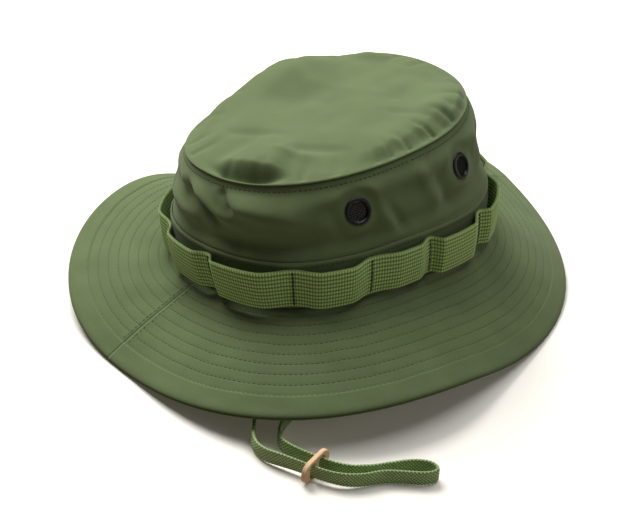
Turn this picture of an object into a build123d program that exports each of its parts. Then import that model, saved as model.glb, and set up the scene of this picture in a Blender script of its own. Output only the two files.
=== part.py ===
"""Boonie hat: wide soft brim, low crown, webbing loops round the base, four vents, flat chin cord.

Millimetres.  +Z is up, the front of the hat faces -Y and the wearer's left side is +X.  The hat stands
free on the three lowest waves of its brim, which touch Z = 0, with the middle of the brim over the origin.
Angles run round the hat from +X towards +Y, so the front is 270 and the back is 90 degrees.
"""
from build123d import *
from math import cos, degrees, pi, radians, sin, sqrt, tan
import os

# Head line: the seam where the crown meets the brim.
HEAD_LENGTH = 196.8
HEAD_WIDTH = 160.2
HEAD_SQUARENESS = 2.67
HEAD_HEIGHT = 39.4
HEAD_LEAN_LEFT = 7.35
HEAD_LEAN_BACK = 4.95
HEAD_WAVE = 5.05
HEAD_WAVE_CREST = 143.0
HEAD_X = 2.77
HEAD_Y = -2.15

# Brim: width along the cloth, and the waves of its edge as (waves round the brim, height, crest angle).
BRIM_WIDTH = 67.8
BRIM_EDGE_HEIGHT = 11.9
BRIM_WAVES = ((1, 0.6, 258.0), (2, 3.0, 139.3), (3, 10.8, 95.0), (4, 3.3, 26.9))
BRIM_ARCH = 2.0
PLY = 0.9
INTERLINING = 0.5
PLY_GAP = 0.06
HEM_WIDTH = 12.0
HEM_PUFF = 0.5
BRIM_STACK = 2 * PLY + INTERLINING + 2 * PLY_GAP

# Crown: the oval seam between its side and its top.
SEAM_LENGTH = 180.9
SEAM_WIDTH = 138.4
SEAM_SQUARENESS = 2.17
SEAM_X = HEAD_X - 14.9
SEAM_Y = HEAD_Y + 1.9
SEAM_HEIGHT = 115.4
SEAM_LEAN_LEFT = 9.85
SEAM_LEAN_BACK = 6.9
SEAM_WAVE = 2.5
SEAM_WAVE_CREST = 126.0
SEAM_GAP = 0.6
WALL_FOOT_GAP = 0.25
CROWN_CLOTH = 1.0
CROWN_BULGE = 5.0
CROWN_DOME = 9.0
DOME_POWER = 2.5

# Band and webbing round the foot of the crown, and the sweatband inside it.
BAND_HEIGHT = 31.0
BAND_CLOTH = 0.9
SWEATBAND_HEIGHT = 35.0
SWEATBAND_CLOTH = 1.2
LOOPS = 12
FIRST_TACK = 274.0
WEBBING_WIDTH = 25.4
WEBBING_CLOTH = 1.5
WEBBING_LIFT = 2.5
LOOP_BULGE = 7.0
LOOP_STATIONS = (0.004, 0.03, 0.06, 0.1, 0.16, 0.24, 0.5, 0.76, 0.84, 0.9, 0.94, 0.97, 0.996)
LOOP_FLAT = 0.03
LOOP_RISE = 0.21
WEBBING_BASE = CROWN_CLOTH + BAND_CLOTH + 0.45
TACK_WIDTH = 1.6
TACK_THREAD = 0.6
TACK_GAP = 0.3

# Vents: a metal eyelet set from outside, a washer inside and a disc of mesh between them.
VENT_ANGLES = {"left_front": -31.0, "left_back": 31.0, "right_back": 149.0, "right_front": 211.0}
VENT_LEVEL = 0.747
EYELET_RADIUS = 8.2
EYELET_FLANGE = 1.3
BARREL_RADIUS = 6.3
BARREL_WALL = 0.5
WASHER_THICKNESS = 0.8
SCREEN_THICKNESS = 0.4
VENT_CLEARANCE = 0.15

# Chin cord: a flat braid whose section is carried by a round tube of the same area.
CORD_DIAMETER = 4.6
CORD_ROUTE = (
    (79.0, -2.4, 43.0), (77.5, -6.0, 31.0), (71.0, -14.0, 16.0), (62.0, -28.0, 5.6),
    (57.0, -48.0, 5.0), (63.0, -69.0, 5.0), (77.0, -86.0, 5.0), (89.0, -103.0, 5.0),
    (94.5, -121.0, 5.0), (106.0, -132.0, 5.2), (120.4, -130.0, 6.2), (147.2, -119.2, 6.4),
    (154.0, -104.5, 5.4), (157.5, -90.0, 5.0), (163.5, -77.5, 5.0), (172.5, -71.5, 5.0),
    (180.5, -75.0, 5.0), (177.5, -83.5, 5.0), (168.5, -91.5, 5.0), (161.5, -103.0, 5.0),
    (158.0, -115.5, 5.4), (148.8, -127.8, 6.4), (122.0, -138.6, 6.2), (107.5, -145.0, 5.2),
    (96.0, -143.0, 5.0), (83.5, -131.0, 5.0), (64.0, -114.0, 5.0), (41.0, -94.0, 5.0),
    (14.0, -74.0, 5.0), (-16.0, -59.0, 5.0), (-42.0, -44.0, 5.0), (-61.0, -24.0, 5.8),
    (-70.5, -10.0, 15.0), (-73.6, -4.0, 28.0),
)
ARC_SHARE = 0.45

# Slider: an upright leather keeper with one slot for each run of the cord.
SLIDER_PLACE = (134.2, -129.2, 6.9)
SLIDER_TURN = 16.0
SLIDER_LENGTH = 25.0
SLIDER_HEIGHT = 13.4
SLIDER_THICKNESS = 3.0
SLOT_WIDTH = 6.4
SLOT_HEIGHT = 9.8
SLOT_SPACING = 9.0

# Bar tacks that hold the cord's ends at the head line.
CORD_TACK_SIZE = (3.4, 11.0, 2.6)

# Seams of the brim, which divide the hat into two halves, as the first and last angle of each half.
HALVES = {"left": (-99.0, 90.0), "right": (90.0, 261.0)}
SECTION_STEP = 7.5
BAND_LEVELS = (0.0, BAND_HEIGHT / 2, BAND_HEIGHT)
UPPER_STEPS = 3


def oval_radius(angle, length, width, squareness):
    """Distance from the centre to a superellipse, in the direction of angle."""
    across = abs(cos(radians(angle)) / (width / 2)) ** squareness
    along = abs(sin(radians(angle)) / (length / 2)) ** squareness
    return (across + along) ** (-1 / squareness)


def head_point(angle):
    """Head line point as (x, y, z), and its level outward direction as (x, y)."""
    radius = oval_radius(angle, HEAD_LENGTH, HEAD_WIDTH, HEAD_SQUARENESS)
    x, y = radius * cos(radians(angle)), radius * sin(radians(angle))
    slope_x = abs(2 * x / HEAD_WIDTH) ** (HEAD_SQUARENESS - 1) / HEAD_WIDTH * (1 if x > 0 else -1)
    slope_y = abs(2 * y / HEAD_LENGTH) ** (HEAD_SQUARENESS - 1) / HEAD_LENGTH * (1 if y > 0 else -1)
    size = sqrt(slope_x**2 + slope_y**2)
    height = HEAD_HEIGHT + HEAD_LEAN_LEFT * cos(radians(angle)) + HEAD_LEAN_BACK * sin(radians(angle))
    height += HEAD_WAVE * cos(radians(2 * (angle - HEAD_WAVE_CREST)))
    return (HEAD_X + x, HEAD_Y + y, height), (slope_x / size, slope_y / size)


def edge_height(angle):
    """Height of the underside of the brim's edge."""
    waves = sum(height * cos(radians(count * (angle - crest))) for count, height, crest in BRIM_WAVES)
    return BRIM_EDGE_HEIGHT + waves


def brim_point(angle, share, up):
    """Point of the brim: share runs from the head line (0) to the edge (1), up is above the underside."""
    (x, y, height), (out_x, out_y) = head_point(angle)
    drop = height - edge_height(angle)
    reach = share * sqrt(BRIM_WIDTH**2 - drop**2)
    arch = 4 * BRIM_ARCH * share * (1 - share)
    return Vector(x + out_x * reach, y + out_y * reach, height - drop * share + arch + up)


def seam_height(angle, share=1.0):
    """Height of the crown's top seam, or of the level surface inside it at a share of its radius."""
    lean = SEAM_LEAN_LEFT * cos(radians(angle)) + SEAM_LEAN_BACK * sin(radians(angle))
    wave = SEAM_WAVE * cos(radians(2 * (angle - SEAM_WAVE_CREST)))
    return SEAM_HEIGHT + lean * share + wave * share**2


def wall_point(angle, share, out):
    """Point of the crown's side: share runs from the brim (0) to the top seam (1), out is outwards."""
    (x, y, height), (out_x, out_y) = head_point(angle)
    radius = oval_radius(angle, SEAM_LENGTH, SEAM_WIDTH, SEAM_SQUARENESS)
    top_x, top_y = SEAM_X + radius * cos(radians(angle)), SEAM_Y + radius * sin(radians(angle))
    foot = height + BRIM_STACK + WALL_FOOT_GAP
    top = seam_height(angle) - SEAM_GAP
    push = out + 4 * CROWN_BULGE * share * (1 - share)
    return Vector(
        x + (top_x - x) * share + out_x * push,
        y + (top_y - y) * share + out_y * push,
        foot + (top - foot) * share,
    )


def wall_share(angle, height):
    """Share of the crown's side that lies height millimetres above the brim."""
    return height / (wall_point(angle, 1, 0) - wall_point(angle, 0, 0)).length


def loft_through(sections, straight=False):
    """Solid through closed outlines, each a list of corner points, smooth or straight from one to the next."""
    wires = [Wire(Polyline(*corners, close=True).edges()) for corners in sections]
    return Solid.make_loft(wires, straight)


def half_angles(side):
    """Section angles of one half of the hat, seam to seam."""
    first, last = HALVES[side]
    steps = round((last - first) / SECTION_STEP)
    return [first + (last - first) * index / steps for index in range(steps + 1)]


def brim_ply(side, low, high, shares):
    """Half of one brim ply between two heights above the underside."""
    sections = []
    for angle in half_angles(side):
        under = [brim_point(angle, share, low) for share in shares]
        over = [brim_point(angle, share, high) for share in reversed(shares)]
        sections.append(under + over)
    return loft_through(sections)


def upper_ply(side, low, high, shares):
    """Half of the upper brim ply, which thickens into the turned edge outside the interlining."""
    hem = 1 - HEM_WIDTH / BRIM_WIDTH
    sections = []
    for angle in half_angles(side):
        under = [brim_point(angle, share, low) for share in shares]
        under.append(brim_point(angle, hem, PLY + PLY_GAP))
        under.append(brim_point(angle, 1, PLY + PLY_GAP))
        over = [brim_point(angle, 1, high - HEM_PUFF), brim_point(angle, (1 + hem) / 2, high + HEM_PUFF)]
        over += [brim_point(angle, share, high) for share in reversed(shares)]
        sections.append(under + over)
    return loft_through(sections)


def wall_ring(inner, outer, heights, to_seam=False):
    """Closed ring of cloth on the crown's side, through heights above the brim, lofted in two halves."""
    halves = []
    for side in HALVES:
        sections = []
        for angle in half_angles(side):
            shares = [wall_share(angle, height) for height in heights]
            if to_seam:
                last = shares[-1]
                shares += [last + (1 - last) * step / UPPER_STEPS for step in range(1, UPPER_STEPS + 1)]
            inside = [wall_point(angle, share, inner) for share in shares]
            outside = [wall_point(angle, share, outer) for share in reversed(shares)]
            sections.append(inside + outside)
        halves.append(loft_through(sections))
    return halves[0] + halves[1]


def crown_top():
    """Domed oval top panel, lofted through upright sections from front to back."""
    half_length = SEAM_LENGTH / 2 + CROWN_CLOTH
    half_width = SEAM_WIDTH / 2 + CROWN_CLOTH
    steps = 14
    across = 10
    sections = []
    for step in range(steps + 1):
        y = -cos(pi * (0.04 + 0.92 * step / steps)) * half_length
        reach = half_width * (1 - abs(y / half_length) ** SEAM_SQUARENESS) ** (1 / SEAM_SQUARENESS)
        under, over = [], []
        for index in range(across + 1):
            x = -reach * cos(pi * index / across)
            spread = abs(x / half_width) ** SEAM_SQUARENESS + abs(y / half_length) ** SEAM_SQUARENESS
            share = spread ** (1 / SEAM_SQUARENESS)
            angle = degrees(Vector(x, y).get_signed_angle(Vector(1, 0), Vector(0, 0, -1)) * pi / 180)
            height = seam_height(angle, share) + CROWN_DOME * (1 - share**DOME_POWER)
            under.append(Vector(SEAM_X + x, SEAM_Y + y, height))
            over.append(Vector(SEAM_X + x, SEAM_Y + y, height + CROWN_CLOTH))
        edges = [Spline(*under), Line(under[-1], over[-1]), Spline(*reversed(over)), Line(over[0], under[0])]
        sections.append(Wire(edges))
    return Solid.make_loft(sections)


def tack_angles():
    """Angles of the webbing's tacks, at equal distances along the head line."""
    fine = [FIRST_TACK + 0.5 * index for index in range(721)]
    points = [Vector(*head_point(angle)[0]) for angle in fine]
    walked = [0.0]
    for before, after in zip(points, points[1:]):
        walked.append(walked[-1] + (after - before).length)
    spacing = walked[-1] / LOOPS
    return [fine[min(range(721), key=lambda k: abs(walked[k] - spacing * loop))] for loop in range(LOOPS)]


def loop_outset(share):
    """How far a webbing loop stands off the band, along its length from tack (0) to tack (1)."""
    nearest = min(share, 1 - share)
    climb = max(0.0, min(1.0, (nearest - LOOP_FLAT) / LOOP_RISE))
    return LOOP_BULGE * (1 - (1 - climb) ** 2)


def strip_outline(angle, edges, inner, outer):
    """Section of a strip that follows the band, between two heights above the brim."""
    shares = [wall_share(angle, height) for height in (edges[0], BAND_HEIGHT / 2, edges[1])]
    inside = [wall_point(angle, share, inner) for share in shares]
    outside = [wall_point(angle, share, outer) for share in reversed(shares)]
    return inside + outside


def webbing_loop(start, end):
    """One loop of the foliage webbing, from tack to tack."""
    sections = []
    for share in LOOP_STATIONS:
        angle = start + (end - start) * share
        inner = WEBBING_BASE + loop_outset(share)
        edges = (WEBBING_LIFT, WEBBING_LIFT + WEBBING_WIDTH)
        sections.append(strip_outline(angle, edges, inner, inner + WEBBING_CLOTH))
    return loft_through(sections, straight=True)


def wall_plane(angle, share, out):
    """Plane on the crown's side with its X axis level and its normal pointing outwards."""
    here = wall_point(angle, share, out)
    level = wall_point(angle + 1, share, out) - wall_point(angle - 1, share, out)
    upward = wall_point(angle, share + 0.01, out) - wall_point(angle, share - 0.01, out)
    return Plane(origin=here, x_dir=level, z_dir=level.cross(upward))


def disc(plane, low, high, radius, hole=0.0):
    """Round plate or ring between two heights over a plane."""
    outline = Circle(radius) - Circle(hole) if hole else Circle(radius)
    return extrude((plane.offset(low)) * outline, high - low)


def vent(angle):
    """Eyelet, washer, mesh screen and the hole they need, on the outside of the crown's side."""
    plane = wall_plane(angle, VENT_LEVEL, CROWN_CLOTH)
    back = -CROWN_CLOTH - 0.8
    barrel_end = back - WASHER_THICKNESS - 0.3
    bore = BARREL_RADIUS - BARREL_WALL
    flange = disc(plane, 0.1, EYELET_FLANGE, EYELET_RADIUS, bore)
    flange = fillet(flange.edges().filter_by(GeomType.CIRCLE).sort_by(Axis(plane.origin, plane.z_dir))[-2:], 0.5)
    eyelet = flange + disc(plane, barrel_end, 0.2, BARREL_RADIUS, bore)
    washer = disc(plane, back - WASHER_THICKNESS, back, EYELET_RADIUS, BARREL_RADIUS + VENT_CLEARANCE)
    screen = disc(plane, -SCREEN_THICKNESS, 0.0, bore - VENT_CLEARANCE)
    hole = disc(plane, -6.0, 3.0, BARREL_RADIUS + VENT_CLEARANCE)
    return eyelet, washer, screen, hole


def cord_tube():
    """Chin cord along its whole route, from one bar tack to the other."""
    points = [Vector(*point) for point in CORD_ROUTE]
    radii = []
    for before, corner, after in zip(points, points[1:], points[2:]):
        run_in, run_out = corner - before, after - corner
        turn = run_in.get_angle(run_out)
        radii.append(ARC_SHARE * min(run_in.length, run_out.length) / tan(radians(turn / 2)))
    path = FilletPolyline(*points, radius=radii)
    start = Plane(origin=points[0], z_dir=points[1] - points[0])
    tube = sweep(start * Circle(CORD_DIAMETER / 2), path=path)
    section = pi * CORD_DIAMETER**2 / 4
    print("cord radii", [round(radius, 1) for radius in radii])
    print("cord length", round(path.length, 1), "volume share", round(tube.volume / section / path.length, 4))
    return tube


def cord_slider():
    """Leather keeper standing across both runs of the cord."""
    turned = Vector(cos(radians(SLIDER_TURN)), sin(radians(SLIDER_TURN)), 0)
    plane = Plane(origin=SLIDER_PLACE, x_dir=Vector(-turned.Y, turned.X, 0), z_dir=turned)
    outline = RectangleRounded(SLIDER_LENGTH, SLIDER_HEIGHT, SLIDER_HEIGHT / 2 - 0.1)
    slot = RectangleRounded(SLOT_WIDTH, SLOT_HEIGHT, SLOT_WIDTH / 2 - 0.1)
    outline -= Pos(-SLOT_SPACING / 2, 0) * slot + Pos(SLOT_SPACING / 2, 0) * slot
    body = extrude(plane * outline, SLIDER_THICKNESS / 2, both=True)
    rims = [face.outer_wire().edges() for face in body.faces().filter_by(Plane(plane.origin, z_dir=turned))]
    return fillet([edge for rim in rims for edge in rim], 0.7)


def cord_tack(end):
    """Block of stitching under the head line that holds one end of the cord."""
    return Pos(*CORD_ROUTE[end]) * Pos(0, 0, CORD_TACK_SIZE[2] / 2) * Box(*CORD_TACK_SIZE)


def webbing_tack(angle):
    """Bar of stitching that holds the webbing down between two loops."""
    inner = WEBBING_BASE + WEBBING_CLOTH + TACK_GAP
    half = degrees(TACK_WIDTH / 2 / oval_radius(angle, HEAD_LENGTH, HEAD_WIDTH, HEAD_SQUARENESS))
    sections = []
    for turn in (angle - half, angle, angle + half):
        edges = (WEBBING_LIFT + 1, WEBBING_LIFT + WEBBING_WIDTH - 1)
        sections.append(strip_outline(turn, edges, inner, inner + TACK_THREAD))
    return loft_through(sections)


def build():
    """All sub-parts by node name."""
    parts = {"crown_top": crown_top()}
    crown_side = wall_ring(0, CROWN_CLOTH, BAND_LEVELS + (SWEATBAND_HEIGHT,), to_seam=True)
    for place, angle in VENT_ANGLES.items():
        eyelet, washer, screen, hole = vent(angle)
        crown_side -= hole
        parts[f"vent_eyelet_{place}"] = eyelet
        parts[f"vent_washer_{place}"] = washer
        parts[f"vent_screen_{place}"] = screen
    parts["crown_side"] = crown_side
    band = CROWN_CLOTH + PLY_GAP
    parts["outer_band"] = wall_ring(band, band + BAND_CLOTH, BAND_LEVELS)
    sweat_levels = BAND_LEVELS + (SWEATBAND_HEIGHT,)
    parts["sweatband"] = wall_ring(-SWEATBAND_CLOTH - PLY_GAP, -PLY_GAP, sweat_levels)
    inner = (0.0, 0.27, 0.54, 1 - (HEM_WIDTH + 1) / BRIM_WIDTH)
    full = inner + (1 - HEM_WIDTH / BRIM_WIDTH, 1.0)
    low = PLY + PLY_GAP
    for side in HALVES:
        parts[f"brim_lower_{side}"] = brim_ply(side, 0, PLY, full)
        parts[f"brim_interlining_{side}"] = brim_ply(side, low, low + INTERLINING, inner)
        parts[f"brim_upper_{side}"] = upper_ply(side, low + INTERLINING + PLY_GAP, BRIM_STACK, inner)
    tacks = tack_angles()
    turns = zip(tacks, tacks[1:] + [tacks[0] + 360])
    parts["foliage_webbing"] = Compound([webbing_loop(start, end) for start, end in turns])
    parts["webbing_bar_tacks"] = Compound([webbing_tack(angle) for angle in tacks])
    parts["chin_cord"] = cord_tube()
    parts["cord_slider"] = cord_slider()
    parts["cord_bar_tack_left"] = cord_tack(0)
    parts["cord_bar_tack_right"] = cord_tack(-1)
    return parts


def main():
    os.makedirs("parts", exist_ok=True)
    for name, shape in build().items():
        export_step(shape, f"parts/{name}.step")


main()
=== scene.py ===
"""Boonie hat: the looks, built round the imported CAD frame.

Angles run round the hat in degrees from +X towards +Y, so the front is at 270 and the back at 90. The
shape formulas are those of the CAD model, with the crown's foot drawn in and raised a little, as worn
cloth settles.
"""
from math import cos, pi, radians, sin

import bmesh
import bpy
import numpy as np
from mathutils import Matrix, Vector


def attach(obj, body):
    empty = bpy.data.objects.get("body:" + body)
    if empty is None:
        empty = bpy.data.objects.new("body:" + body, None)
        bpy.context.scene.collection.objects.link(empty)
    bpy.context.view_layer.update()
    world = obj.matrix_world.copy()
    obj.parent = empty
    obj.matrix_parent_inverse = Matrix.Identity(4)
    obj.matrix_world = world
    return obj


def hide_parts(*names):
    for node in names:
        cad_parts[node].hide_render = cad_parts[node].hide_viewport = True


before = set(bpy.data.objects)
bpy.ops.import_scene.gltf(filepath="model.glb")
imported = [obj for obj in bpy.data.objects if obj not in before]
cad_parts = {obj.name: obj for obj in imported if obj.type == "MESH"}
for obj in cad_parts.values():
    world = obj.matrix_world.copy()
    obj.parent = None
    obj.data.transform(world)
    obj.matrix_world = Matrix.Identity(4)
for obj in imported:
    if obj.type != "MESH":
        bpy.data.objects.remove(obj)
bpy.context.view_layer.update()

MM = 0.001

# ---------------------------------------------------------------- driving dimensions, as in the CAD model
HEAD_LENGTH, HEAD_WIDTH, HEAD_SQUARENESS = 196.8, 160.2, 2.67
HEAD_HEIGHT, HEAD_LEAN_LEFT, HEAD_LEAN_BACK = 39.4, 7.35, 4.95
HEAD_WAVE, HEAD_WAVE_CREST = 5.05, 143.0
HEAD_X, HEAD_Y = 2.77, -2.15
BRIM_WIDTH, BRIM_EDGE_HEIGHT, BRIM_ARCH = 67.8, 11.9, 2.0
BRIM_WAVES = ((1, 0.6, 258.0), (2, 3.0, 139.3), (3, 10.8, 95.0), (4, 3.3, 26.9))
BRIM_STACK, PLY = 2.42, 0.9
HEM_WIDTH = 12.0
FRONT_SEAM, BACK_SEAM = 261.0, 450.0
HALVES = {"left": (FRONT_SEAM - 360, BACK_SEAM - 360), "right": (BACK_SEAM - 360, FRONT_SEAM)}
SEAM_LENGTH, SEAM_WIDTH, SEAM_SQUARENESS = 180.9, 138.4, 2.17
SEAM_X, SEAM_Y = HEAD_X - 14.9, HEAD_Y + 1.9
SEAM_HEIGHT, SEAM_LEAN_LEFT, SEAM_LEAN_BACK = 115.4, 9.85, 6.9
SEAM_WAVE, SEAM_WAVE_CREST = 2.5, 126.0
CROWN_CLOTH, CROWN_BULGE, CROWN_DOME = 1.0, 5.0, 9.0
BAND_HEIGHT, SWEATBAND_HEIGHT = 31.0, 35.0
WEBBING_WIDTH, WEBBING_CLOTH, WEBBING_LIFT = 25.4, 1.5, 2.5
LOOPS, FIRST_TACK = 12, 274.0
VENT_ANGLES = {"left_front": -31.0, "left_back": 31.0, "right_back": 149.0, "right_front": 211.0}
VENT_LEVEL, VENT_HOLE = 0.747, 6.6
WALL_ARC, BAND_ARC, BRIM_ARC = 1.5, 1.64, 2.2  # mm round the hat for each degree, about

# ---------------------------------------------------------------- how the worn cloth has settled
FOOT_TUCK, FRONT_RISE = 4.6, 3.5
SEAM_SWELL, BAND_HOLLOW, RIGHT_HOLLOW = 2.7, 2.4, 3.0
TACK_SHIFTS = np.array([-0.4, 3.0, 1.5, -1.8, -0.6, 0, 0, 0, 0, 0, 0, 0, -0.4])

# ---------------------------------------------------------------- photograph's viewpoint
CAMERA_PLACE = (0.6541, -0.6255, 0.6305)
CAMERA_AZIMUTH, CAMERA_ELEVATION, CAMERA_ROLL, CAMERA_LENS = 46.75, 34.0, 3.91, 96.5


# ================================================================ shape formulas (millimetres)
def oval(angle, length, width, squareness):
    """Superellipse radius at an angle."""
    turn = np.radians(angle)
    across = np.abs(np.cos(turn) / (width / 2)) ** squareness
    along = np.abs(np.sin(turn) / (length / 2)) ** squareness
    return (across + along) ** (-1 / squareness)


def head_line(angle):
    """x, y and z of the seam between crown and brim, and its level outward direction."""
    radius = oval(angle, HEAD_LENGTH, HEAD_WIDTH, HEAD_SQUARENESS)
    turn = np.radians(angle)
    x, y = radius * np.cos(turn), radius * np.sin(turn)
    slope_x = np.sign(x) * np.abs(2 * x / HEAD_WIDTH) ** (HEAD_SQUARENESS - 1) / HEAD_WIDTH
    slope_y = np.sign(y) * np.abs(2 * y / HEAD_LENGTH) ** (HEAD_SQUARENESS - 1) / HEAD_LENGTH
    size = np.hypot(slope_x, slope_y)
    height = HEAD_HEIGHT + HEAD_LEAN_LEFT * np.cos(turn) + HEAD_LEAN_BACK * np.sin(turn)
    height = height + HEAD_WAVE * np.cos(2 * np.radians(angle - HEAD_WAVE_CREST))
    return x + HEAD_X, y + HEAD_Y, height, slope_x / size, slope_y / size


def settle(angle):
    """How far the worn crown's foot is drawn in from the plain head line, and how far it is raised."""
    left = np.exp(-((angle_gap(angle, 215.0) / 40.0) ** 2))
    right = np.exp(-((angle_gap(angle, 48.0) / 32.0) ** 2))
    front = np.exp(-((angle_gap(angle, 272.0) / 62.0) ** 2))
    return FOOT_TUCK - 1.8 * left + 1.4 * right, FRONT_RISE * front


def brim_surface(angle, share, up):
    """Point on the brim, from the head line (share 0) to the edge (1), up above its underside."""
    x, y, height, out_x, out_y = head_line(angle)
    edge = BRIM_EDGE_HEIGHT + sum(h * np.cos(np.radians(n * (angle - crest))) for n, h, crest in BRIM_WAVES)
    drop = height - edge
    tuck, rise = settle(angle)
    reach = share * np.sqrt(BRIM_WIDTH**2 - drop**2) - tuck * (1 - share)
    level = height + rise * (1 - share) - drop * share + 4 * BRIM_ARCH * share * (1 - share) + up
    return np.stack([x + out_x * reach, y + out_y * reach, level], -1)


def seam_height(angle, share=1.0):
    """Height of the crown's top seam, or of the level surface inside it."""
    lean = SEAM_LEAN_LEFT * np.cos(np.radians(angle)) + SEAM_LEAN_BACK * np.sin(np.radians(angle))
    wave = SEAM_WAVE * np.cos(2 * np.radians(angle - SEAM_WAVE_CREST))
    return SEAM_HEIGHT + lean * share + wave * share**2


def wall_surface(angle, share, out):
    """Point on the crown's side, from the brim (share 0) to the top seam (1), out from its inner face."""
    x, y, height, out_x, out_y = head_line(angle)
    radius = oval(angle, SEAM_LENGTH, SEAM_WIDTH, SEAM_SQUARENESS)
    top_x = SEAM_X + radius * np.cos(np.radians(angle))
    top_y = SEAM_Y + radius * np.sin(np.radians(angle))
    foot = height + BRIM_STACK + 0.25
    tuck, rise = settle(angle)
    near_foot = np.clip(1 - share / 0.7, 0, 1) ** 1.5
    push = out + 4 * CROWN_BULGE * share * (1 - share) - tuck * near_foot
    level = foot + (seam_height(angle) - 0.6 - foot) * share + rise * near_foot
    x = x + (top_x - x) * share + out_x * push
    y = y + (top_y - y) * share + out_y * push
    return np.stack([x, y, level], -1)


def wall_share(angle, height):
    """Share of the crown's side at a distance above the brim."""
    span = np.linalg.norm(wall_surface(angle, 1.0, 0.0) - wall_surface(angle, 0.0, 0.0), axis=-1)
    return height / span


def top_surface(angle, share, up):
    """Point on the crown's top panel, from its middle (share 0) to the seam (1)."""
    length, width = SEAM_LENGTH + 2 * CROWN_CLOTH, SEAM_WIDTH + 2 * CROWN_CLOTH
    radius = oval(angle, length, width, SEAM_SQUARENESS) * share
    level = seam_height(angle, share) + CROWN_DOME * (1 - share**2.5) + up
    turn = np.radians(angle)
    return np.stack([SEAM_X + radius * np.cos(turn), SEAM_Y + radius * np.sin(turn), level], -1)


# ================================================================ mesh helpers
def grid_faces(rows, columns, wrap, start=0, flip=False):
    """Quads over a grid of vertices stored row by row."""
    row = np.arange(rows if wrap else rows - 1)
    column = np.arange(columns - 1)
    a = (row[:, None] * columns + column[None]).ravel()
    b = (((row[:, None] + 1) % rows) * columns + column[None]).ravel()
    quads = np.stack([a, b, b + 1, a + 1], 1) + start
    return quads[:, ::-1] if flip else quads


def tube_faces(rings, turns, closed=False):
    """Quads round a tube stored ring by ring; closed says that its last ring meets its first."""
    ring = np.arange(rings if closed else rings - 1)[:, None]
    turn = np.arange(turns)[None]
    near, far, after = ring * turns, (ring + 1) % rings * turns, (turn + 1) % turns
    return np.stack([corner.ravel() for corner in (near + turn, far + turn, far + after, near + after)], 1)


def as_mesh(name, points, faces, maps=None):
    """Object from millimetre points and quads, with a UV map in millimetres per vertex."""
    mesh = bpy.data.meshes.new(name)
    mesh.from_pydata((points.reshape(-1, 3) * MM).tolist(), [], faces.tolist())
    if maps is not None:
        layer = mesh.uv_layers.new(name="cloth")
        corners = np.zeros(len(mesh.loops), np.int32)
        mesh.loops.foreach_get("vertex_index", corners)
        layer.data.foreach_set("uv", maps.reshape(-1, 2)[corners].astype(np.float32).ravel())
    mesh.polygons.foreach_set("use_smooth", np.ones(len(mesh.polygons), bool))
    mesh.validate()
    mesh.update()
    made = bpy.data.objects.new(name, mesh)
    bpy.context.scene.collection.objects.link(made)
    return made


def shell(name, outer, inner, maps, wrap):
    """Closed sheet between two grids of points, the first seen from outside."""
    rows, columns = outer.shape[:2]
    count = rows * columns
    faces = [grid_faces(rows, columns, wrap), grid_faces(rows, columns, wrap, count, True)]
    row = np.arange(rows if wrap else rows - 1)
    after = (row + 1) % rows
    for column, flip in ((0, False), (columns - 1, True)):
        a, b = row * columns + column, after * columns + column
        strip = np.stack([a, a + count, b + count, b], 1)
        faces.append(strip[:, ::-1] if flip else strip)
    if not wrap:
        column = np.arange(columns - 1)
        for line, flip in ((0, True), (rows - 1, False)):
            a = line * columns + column
            strip = np.stack([a, a + count, a + count + 1, a + 1], 1)
            faces.append(strip[:, ::-1] if flip else strip)
    points = np.concatenate([outer.reshape(-1, 3), inner.reshape(-1, 3)])
    both = np.concatenate([maps.reshape(-1, 2), maps.reshape(-1, 2)])
    return as_mesh(name, points, np.concatenate(faces), both)


def reshape(piece, change):
    """Runs a change on a piece's mesh."""
    mesh = bmesh.new()
    mesh.from_mesh(piece.data)
    change(mesh)
    mesh.to_mesh(piece.data)
    mesh.free()


def spread_noise(points, size, seed, waves=24):
    """Smooth noise between about -1 and 1 over points, with features of the given size."""
    random = np.random.default_rng(seed)
    direction = random.normal(size=(waves, 3))
    direction /= np.linalg.norm(direction, axis=1, keepdims=True)
    pace = 2 * pi / size * random.uniform(0.6, 1.4, waves)
    phase = random.uniform(0, 2 * pi, waves)
    total = sum(np.sin(points @ d * p + f) for d, p, f in zip(direction, pace, phase))
    return total / np.sqrt(waves) * 0.9


def smooth(low, high, value):
    """Smooth step from 0 at low to 1 at high."""
    t = np.clip((value - low) / (high - low), 0, 1)
    return t * t * (3 - 2 * t)


def angle_gap(angle, other):
    """Signed difference between angles, from -180 to 180."""
    return (angle - other + 180) % 360 - 180


def walked(points):
    """Distance walked along a row of points."""
    steps = np.linalg.norm(np.diff(points, axis=0), axis=1)
    return np.concatenate([[0], np.cumsum(steps)])


def ridge(along, up, fold):
    """Height of one soft fold: a ridge with a rounded section along a straight line in two coordinates."""
    x0, y0, x1, y1, width, height = fold
    dx, dy = x1 - x0, y1 - y0
    length = np.hypot(dx, dy)
    t = ((along - x0) * dx + (up - y0) * dy) / length**2
    off = ((along - x0) * dy - (up - y0) * dx) / length
    ends = smooth(-0.25, 0.25, t) * (1 - smooth(0.75, 1.25, t))
    return height * np.exp(-((off / width) ** 2)) * ends


# ================================================================ materials
def node_tree(name):
    """New material: the material, its node tree and its Principled shader."""
    material = bpy.data.materials.new(name)
    material.use_nodes = True
    tree = material.node_tree
    return material, tree, tree.nodes["Principled BSDF"]


def add(tree, kind, **settings):
    """Node of a kind with its properties set."""
    made = tree.nodes.new(kind)
    for key, value in settings.items():
        setattr(made, key, value)
    return made


def feed(tree, socket, value):
    """Gives a socket a number, a colour or another socket."""
    if isinstance(value, (int, float)):
        socket.default_value = value
    elif isinstance(value, tuple):
        socket.default_value = (*value, 1)
    else:
        tree.links.new(value, socket)


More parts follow.
